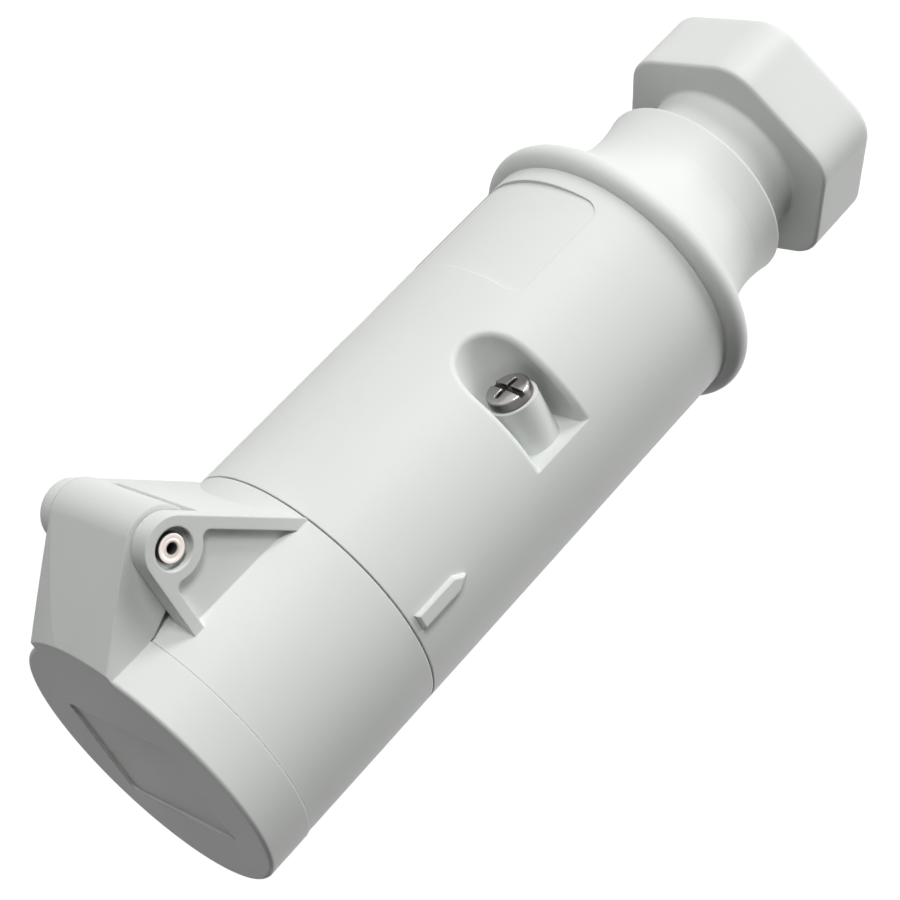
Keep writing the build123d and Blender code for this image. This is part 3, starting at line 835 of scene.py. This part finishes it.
@dataclass
class HousingScrews(SubAssembly):
    """The two long screws that hold the housings together, with their slotted pan heads."""

    place_x: float = -76.4
    reach: float = 18.8
    seat: float = 11.8
    head_radius: float = 3.95
    head_height: float = 2.35
    shoulder: float = 0.55
    dome: float = 0.22
    dome_points: int = 44
    pole_radius: float = 0.04
    rim_start: float = 84.0
    rim_points: int = 10
    side_points: int = 8
    underside_chamfer: float = 0.1
    slot_width: float = 1.05
    slot_depth: float = 0.95
    slot_edge: float = 0.1
    cross_half_length: float = 2.5
    cross_edge: float = 0.3
    slot_turn: float = 95.0
    shank_radius: float = 1.95
    shank_end: float = -7.5
    tip_length: float = 0.4
    tip_radius: float = 1.4
    side_shade: float = 0.75
    side_shade_width: float = 0.4
    columns: int = 288

    def head_profile(self) -> np.ndarray:
        """The head as radius and height: a shallow dome, a round shoulder, a side and the underside."""
        top = self.seat + self.head_height
        inner = self.head_radius - self.shoulder
        radius = np.linspace(self.pole_radius, inner, self.dome_points)
        dome = np.column_stack([radius, top - self.dome * (radius / inner) ** 2])
        centre = (inner, dome[-1, 1] - self.shoulder)
        rim = arc(centre, self.shoulder, self.rim_start, 0.0, self.rim_points)
        side_heights = np.linspace(rim[-1, 1], self.seat + self.underside_chamfer, self.side_points + 1)[1:]
        side = np.column_stack([np.full(self.side_points, self.head_radius), side_heights])
        return chain(dome, rim, side, (self.head_radius - self.underside_chamfer, self.seat))

    def screw(self, p: float) -> Grid:
        """One screw: its head turned about its line and cut by a slot and a shorter cross, and its shank.

        Where a point lies in a slot, its height is drawn down to the slot's floor by a smooth step.

        Args:
            p: The screw's place along the pin.

        Returns:
            The closed surface.
        """
        head = self.head_profile()
        angle = turn_angles(self.columns)
        radius = head[:, :1] * np.ones_like(angle)
        turned = angle - np.radians(self.slot_turn)
        along, aside = np.abs(radius * np.cos(turned)), np.abs(radius * np.sin(turned))
        half, edge = self.slot_width / 2.0, self.slot_edge
        cross = step(half - along, edge) * step(self.cross_half_length - aside, self.cross_edge)
        cut = np.maximum(step(half - aside, edge), cross)
        top = self.seat + self.head_height
        floor = top - self.slot_depth
        height = head[:, 1:] - cut * np.maximum(head[:, 1:] - floor, 0.0)
        shank = chain(
            (self.shank_radius, self.seat),
            (self.shank_radius, self.shank_end + self.tip_length),
            (self.tip_radius, self.shank_end),
        )
        # Painted shade: the slots and the head's side below the shoulder are darkened, standing in for the
        # shade and dark reflections there.
        below = step(top - self.dome - self.shoulder / 2.0 - head[:, 1:], self.side_shade_width)
        painted_shade = np.maximum(cut * (head[:, 1:] > floor), self.side_shade * below)
        radius = np.vstack([radius, shank[:, :1] * np.ones_like(angle)])
        height = np.vstack([height, shank[:, 1:] * np.ones_like(angle)])
        painted_shade = np.vstack([painted_shade, np.zeros((len(shank), self.columns))])
        points = COUPLER.place(self.place_x + radius * np.cos(angle), height, p + radius * np.sin(angle))
        return Grid(points, rows_close=False, painted_shade=painted_shade)

    def build(self) -> None:
        """Builds both screws."""
        for side, p in (("left", -self.reach), ("right", self.reach)):
            node = f"housing_screw_{side}"
            self.add(f"{node}_slotted", [self.screw(p)], Slot.SCREW_STEEL, "coupler", node)


@dataclass(frozen=True)
class Pole:
    """One contact: its name, its bore's radius and its direction from the axis, in degrees from the hinge."""

    name: str
    bore: float
    bearing: float


@dataclass
class Contacts(SubAssembly):
    """The contact insert, its three contacts and what holds them."""

    reach: float = 8.75
    wall: float = 1.05
    front_x: float = -9.0
    bore_depth: float = 26.0
    terminal_front_x: float = -49.0
    terminal_back_x: float = -58.5
    terminal_radius: float = 4.3
    wire_bore: float = 2.1
    slit_width: float = 0.5
    slit_length: float = 14.0
    slit_edge: float = 0.15
    edge: float = 0.3
    mouth_depth: float = 0.5
    mouth_flare: float = 0.4
    end_wall: float = 0.5
    columns: int = 128
    poles: tuple[Pole, ...] = (
        Pole("line", 2.55, 60.0),
        Pole("neutral", 2.55, 300.0),
        Pole("earth", 3.05, 180.0),
    )

    def socket(self, pole: Pole) -> Grid:
        """A contact tube, slit lengthwise at its front, with its terminal behind.

        Where a point lies in a slit, its place along the axis is held back to the slit's end by a smooth step.

        Args:
            pole: The contact.

        Returns:
            The closed surface.
        """
        front, bore, outer, edge = self.front_x, pole.bore, pole.bore + self.wall, self.edge
        slit_end = front - self.slit_length
        profile = chain(
            (front - self.bore_depth, bore),
            (slit_end, bore),
            (front - self.mouth_depth, bore),
            (front, bore + self.mouth_flare),
            (front, outer - edge),
            (front - edge, outer),
            (slit_end, outer),
            (self.terminal_front_x, outer),
            (self.terminal_front_x, self.terminal_radius - edge),
            (self.terminal_front_x - edge, self.terminal_radius),
            (self.terminal_back_x + edge, self.terminal_radius),
            (self.terminal_back_x, self.terminal_radius - edge),
            (self.terminal_back_x, self.wire_bore),
            (self.terminal_front_x - self.end_wall, self.wire_bore),
        )
        angle = turn_angles(self.columns)
        radius = profile[:, 1:]
        cut = step(self.slit_width / 2.0 - np.abs(radius * np.sin(angle)), self.slit_edge)
        x = profile[:, :1] - cut * np.maximum(profile[:, :1] - slit_end, 0.0)
        bearing = np.radians(pole.bearing)
        h = self.reach * np.cos(bearing) + radius * np.cos(angle)
        p = self.reach * np.sin(bearing) + radius * np.sin(angle)
        return Grid(COUPLER.place(x, h, p), rows_close=False)

    def build(self) -> None:
        """Builds the contacts and dresses what holds them."""
        self.keep("contact_insert", Slot.INSERT_PLASTIC)
        self.keep("contact_retainer", Slot.INSERT_PLASTIC)
        self.keep("retainer_screws", Slot.SCREW_STEEL)
        for pole in self.poles:
            node = f"contact_{pole.name}"
            self.add(f"{node}_socket", [self.socket(pole)], Slot.BRASS, "coupler", node)
            self.keep(f"terminal_screw_{pole.name}", Slot.SCREW_STEEL)


@dataclass
class Gland(SubAssembly):
    """The six-sided gland nut, the ring that it pushes and the rubber sleeve."""

    flats: float = 43.0
    corner_radius: float = 8.5
    front_x: float = -152.1
    length: float = 14.8
    shank_radius: float = 15.3
    shank_end_x: float = -136.4
    bore_radius: float = 9.5
    face_inset: float = 5.2
    front_edge: float = 0.7
    front_points: int = 7
    front_run: float = 2.0
    back_edge: float = 1.5
    back_points: int = 9
    back_run: float = 3.0
    back_face_radius: float = 13.5
    mouth_lip: float = 1.6
    lip_points: int = 9
    lip_margin: float = 0.4
    end_chamfer: float = 0.5
    foot_radius: float = 0.6
    foot_points: int = 6
    foot_margin: float = 0.3
    sleeve_back_x: float = -124.4
    sleeve_front_x: float = -110.5
    sleeve_outer: float = 15.5
    sleeve_bore: float = 6.5
    sleeve_rib: float = 0.7
    sleeve_ribs: int = 5
    sleeve_rows: int = 60
    sleeve_front_edge: float = 0.4
    sleeve_back_edge: float = 0.8
    sleeve_back_points: int = 7
    sleeve_columns: int = 144
    columns: int = 384

    def hexagon(self, inset: np.ndarray, angle: np.ndarray) -> np.ndarray:
        """The radius of a six-sided outline with round corners, at each angle.

        Along a flat, the radius is half the width across flats over the cosine of the angle from the flat's
        middle. Near a corner it is the far crossing with the corner's circle, whose centre lies on the line to
        the corner.

        Args:
            inset: How far the outline is drawn in, in millimetres, one to a row.
            angle: The angles, one to a column.

        Returns:
            The radii, by row and column.
        """
        half = self.flats / 2.0 - inset
        corner = self.corner_radius - inset
        sixth = np.pi / 3.0
        from_flat = np.mod(angle + sixth / 2.0, sixth) - sixth / 2.0
        from_corner = np.abs(from_flat) - sixth / 2.0
        centre = (half - corner) / np.cos(sixth / 2.0)
        across = centre * np.sin(from_corner)
        round_radius = centre * np.cos(from_corner) + np.sqrt(np.maximum(corner**2 - across**2, 0.0))
        on_flat = half * np.tan(np.abs(from_flat)) <= (half - corner) * np.tan(sixth / 2.0)
        return np.where(on_flat, half / np.cos(from_flat), round_radius)

    def nut(self) -> Grid:
        """The nut: six-sided rows for its head and round rows for its shank and bore, in one surface."""
        front, back = self.front_x, self.front_x - self.length
        front_edge, back_edge = self.front_edge, self.back_edge
        head = chain(
            (front, self.face_inset),
            arc((front - front_edge, front_edge), front_edge, 0.0, -90.0, self.front_points),
            (front - self.front_run, 0.0),
            (back + self.back_run, 0.0),
            arc((back + back_edge, back_edge), back_edge, 270.0, 180.0, self.back_points),
            (back, self.face_inset),
        )
        angle = turn_angles(self.columns)
        lip, bore, foot = self.mouth_lip, self.bore_radius, self.foot_radius
        end, outer, chamfer = self.shank_end_x, self.shank_radius, self.end_chamfer
        shank = chain(
            (back, self.back_face_radius),
            (back, bore + lip + self.lip_margin),
            arc((back + lip, bore + lip), lip, 180.0, 270.0, self.lip_points),
            (front, bore),
            (end - chamfer, bore),
            (end, bore + chamfer),
            (end, outer - chamfer),
            (end - chamfer, outer),
            (end - 2.0 * chamfer, outer),
            (front + 2.0 * foot, outer),
            arc((front + foot, outer + foot), foot, 270.0, 180.0, self.foot_points),
            (front, outer + foot + self.foot_margin),
        )
        x = np.concatenate([head[:, 0], shank[:, 0]])[:, None]
        radius = np.vstack([self.hexagon(head[:, 1:], angle), shank[:, 1:] * np.ones_like(angle)])
        return Grid(COUPLER.place(x, radius * np.cos(angle), radius * np.sin(angle)))

    def sleeve(self) -> Grid:
        """The rubber sleeve: a thick tube whose bore swells in and out as a cosine, in gripping ribs."""
        back, front, outer = self.sleeve_back_x, self.sleeve_front_x, self.sleeve_outer
        edge, back_edge = self.sleeve_front_edge, self.sleeve_back_edge
        x = np.linspace(back + edge, front - edge, self.sleeve_rows)
        share = (x - x[0]) / (x[-1] - x[0])
        swell = 0.5 + 0.5 * np.cos(2.0 * np.pi * self.sleeve_ribs * share)
        bore = self.sleeve_bore + self.sleeve_rib * swell
        profile = chain(
            np.column_stack([x, bore]),
            (front, bore[-1] + edge),
            arc((front - edge, outer - edge), edge, 0.0, 90.0, CORNER_POINTS),
            arc((back + back_edge, outer - back_edge), back_edge, 90.0, 180.0, self.sleeve_back_points),
            (back, bore[0] + edge),
        )
        return round_the_axis(profile, self.sleeve_columns)

    def build(self) -> None:
        """Builds the nut and the sleeve and dresses the ring between them."""
        self.add("gland_nut_head", [self.nut()], Slot.GREY_PLASTIC, "gland_nut", "gland_nut")
        self.add("sealing_sleeve_ribbed", [self.sleeve()], Slot.BLACK_RUBBER, "coupler", "sealing_sleeve")
        self.keep("pressure_ring", Slot.PALE_PLASTIC)


# Studio


@dataclass(frozen=True)
class Softbox:
    """A rectangular lamp that shines on the coupler's middle, with its lengths in metres."""

    name: str
    direction: Point
    distance: float
    width: float
    height: float
    level: float

    def build(self, target: Vector) -> None:
        """Adds the lamp. A level of 1 lights a white surface that faces it to full white.

        The lamp's power is its level times the square of pi times the distance.

        Args:
            target: The point that the lamp faces, in metres.
        """
        lamp = bpy.data.lights.new(self.name, "AREA")
        lamp.shape = "RECTANGLE"
        lamp.size = self.width
        lamp.size_y = self.height
        lamp.energy = self.level * (np.pi * self.distance) ** 2
        holder = bpy.data.objects.new(self.name, lamp)
        towards = Vector(self.direction).normalized()
        holder.location = target + towards * self.distance
        holder.rotation_euler = towards.to_track_quat("Z", "Y").to_euler()
        bpy.context.scene.collection.objects.link(holder)


@dataclass(frozen=True)
class Viewpoint:
    """The photograph's viewing angle, as a place, a right and an up direction and a lens.

    The place and the clipping distances are in metres, the lens and the sensor in millimetres.
    """

    place: Point = (0.09132, -0.32116, 0.20198)
    right: Point = (-0.63181, 0.15656, 0.75915)
    up: Point = (-0.66735, -0.60805, -0.43001)
    focal_length: float = 96.0
    sensor: float = 36.0
    clip_start: float = 0.01
    clip_end: float = 50.0

    def build(self) -> None:
        """Adds the camera and makes it the scene's."""
        lens = bpy.data.cameras.new("camera")
        lens.lens = self.focal_length
        lens.sensor_width = self.sensor
        lens.clip_start = self.clip_start
        lens.clip_end = self.clip_end
        camera = bpy.data.objects.new("camera", lens)
        right = Vector(self.right).normalized()
        up = Vector(self.up)
        up = (up - right * up.dot(right)).normalized()
        turned = Matrix((right, up, right.cross(up))).transposed()
        camera.matrix_world = Matrix.Translation(self.place) @ turned.to_4x4()
        bpy.context.scene.collection.objects.link(camera)
        bpy.context.scene.camera = camera


@dataclass
class Studio:
    """The floor, the backdrop, the lamps and the camera, with lengths in metres."""

    ambient: Colour = (0.04, 0.0403, 0.0408)
    paper: Colour = (0.5, 0.5, 0.5)
    paper_glow: float = 0.86
    floor_room: float = 0.022
    floor_radii: tuple[float, ...] = (0.2, 0.5, 1.0, 2.5, 6.0)
    floor_columns: int = 128
    backdrop: Colour = (1.0, 1.0, 1.0)
    middle: Point = (-0.075, 0.0, 0.0)
    lamps: tuple[Softbox, ...] = (
        Softbox("front_softbox", (0.0, -0.988, 0.156), 1.3, 0.6, 0.3, 0.57),
        Softbox("low_softbox", (-0.707, -0.694, 0.054), 1.3, 0.7, 0.19, 0.45),
        Softbox("end_softbox", (-0.819, 0.0, 0.574), 1.3, 0.7, 0.6, 0.37),
        Softbox("back_softbox", (-0.5, 0.85, 0.35), 1.5, 1.0, 0.8, 0.2),
    )

    def add_floor(self) -> None:
        """Adds a round floor that shows white but keeps the coupler's shadow.

        It lies below the coupler by the room that the lid needs, because the open lid hangs lower than the
        coupler does at rest.
        """
        angle = turn_angles(self.floor_columns)
        rings = np.array(self.floor_radii)[:, None]
        x, y = self.middle[0] + rings * np.cos(angle), rings * np.sin(angle)
        height = CAD_BOX[0][2] - self.floor_room
        points = np.stack([x, y, np.full_like(x, height)], axis=-1)
        index = np.arange(x.size).reshape(x.shape)
        beside = np.roll(index, -1, axis=1)
        quads = np.stack([index[:-1], index[1:], beside[1:], beside[:-1]], axis=-1).reshape(-1, 4)
        mesh = bpy.data.meshes.new("studio_floor")
        mesh.from_pydata(points.reshape(-1, 3).tolist(), [], [index[0].tolist(), *quads.tolist()])
        floor = bpy.data.objects.new("studio_floor", mesh)
        bpy.context.scene.collection.objects.link(floor)
        shader = Shader(bpy.data.materials.new("floor_paper"))
        paper = shader.node("ShaderNodeBsdfDiffuse", {}, {"Color": shade(self.paper)}).outputs[0]
        glow = shader.node("ShaderNodeEmission", {}, {"Strength": self.paper_glow}).outputs[0]
        white = shader.node("ShaderNodeAddShader", {}, {0: paper, 1: glow}).outputs[0]
        choice = {0: shader.seen_directly(), 1: paper, 2: white}
        blend = shader.node("ShaderNodeMixShader", {}, choice).outputs[0]
        shader.node("ShaderNodeOutputMaterial", {}, {"Surface": blend})
        mesh.materials.append(shader.owner)

    def add_world(self) -> None:
        """Adds faint light from all round, with a white backdrop for what is seen."""
        shader = Shader(bpy.data.worlds.new("studio_world"))
        light = shader.node("ShaderNodeBackground", {}, {"Color": shade(self.ambient)}).outputs[0]
        backdrop = shader.node("ShaderNodeBackground", {}, {"Color": shade(self.backdrop)}).outputs[0]
        choice = {0: shader.seen_directly(), 1: light, 2: backdrop}
        mixed = shader.node("ShaderNodeMixShader", {}, choice).outputs[0]
        shader.node("ShaderNodeOutputWorld", {}, {"Surface": mixed})
        bpy.context.scene.world = shader.owner

    def build(self) -> None:
        """Sets up the whole studio."""
        for lamp in self.lamps:
            lamp.build(Vector(self.middle))
        self.add_floor()
        self.add_world()
        Viewpoint().build()
        bpy.context.scene.view_settings.view_transform = "Standard"


def main() -> None:
    """Builds every sub-assembly and the studio."""
    logging.basicConfig(level=logging.INFO, format="%(name)s: %(message)s")
    finishes = FinishBook()
    builders: list[Callable[[FinishBook], SubAssembly]] = [Housings, Lid, HousingScrews, Contacts, Gland]
    for builder in builders:
        builder(finishes).build()
    Studio().build()


if __name__ == "__main__":
    main()
